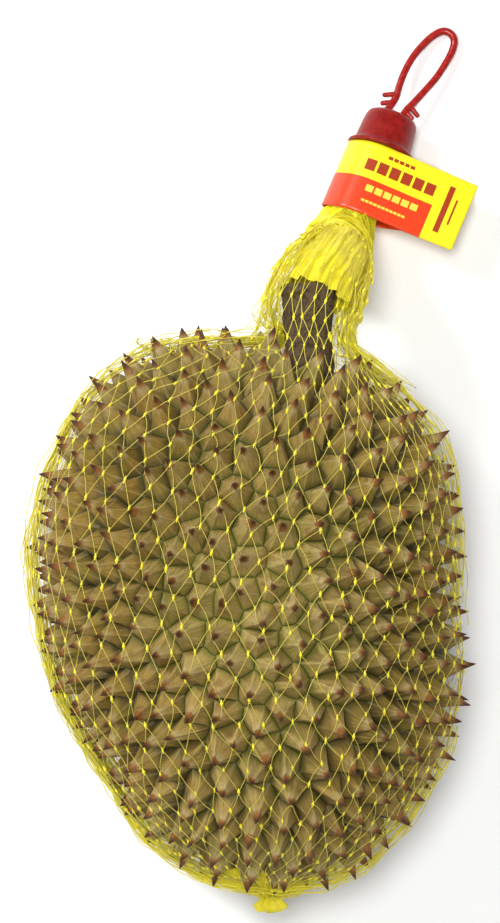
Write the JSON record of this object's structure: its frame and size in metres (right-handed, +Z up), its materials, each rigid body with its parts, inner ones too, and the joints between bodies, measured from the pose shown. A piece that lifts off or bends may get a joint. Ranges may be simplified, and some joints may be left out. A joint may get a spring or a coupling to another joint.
{
  "type": "durian in a net sleeve",
  "caption": "Whole spiny tropical fruit with its stalk, lying on its side in a knotted net sleeve that a plastic cap with a carrying loop closes.",
  "frame": {"origin": "on the surface that the fruit rests on, under the middle of the whole object's box", "axes": "+Z up off the surface; +Y from the fruit's blossom end to its stalk and the carrying loop; +X to the right of the stalk, the side that the label's flag points to"},
  "size_m": [0.1918, 0.3824, 0.1688],
  "materials": {
    "husk": "dry matt olive-khaki rind with brown spine tips",
    "stem": "rough grey-brown bark",
    "net": "thin bright yellow polyethylene strands",
    "cap": "dark red moulded plastic, faintly mottled",
    "loop": "red moulded plastic rod",
    "label": "coated yellow card with an orange-red panel and no lettering"
  },
  "bodies": {
    "root": {"husk": "husk", "stem": "stem", "net_bag": "net", "net_neck": "net", "net_tab": "net", "clip_cap": "cap", "loop_handle": "loop", "wrap_label": "label"}
  },
  "joints": []
}
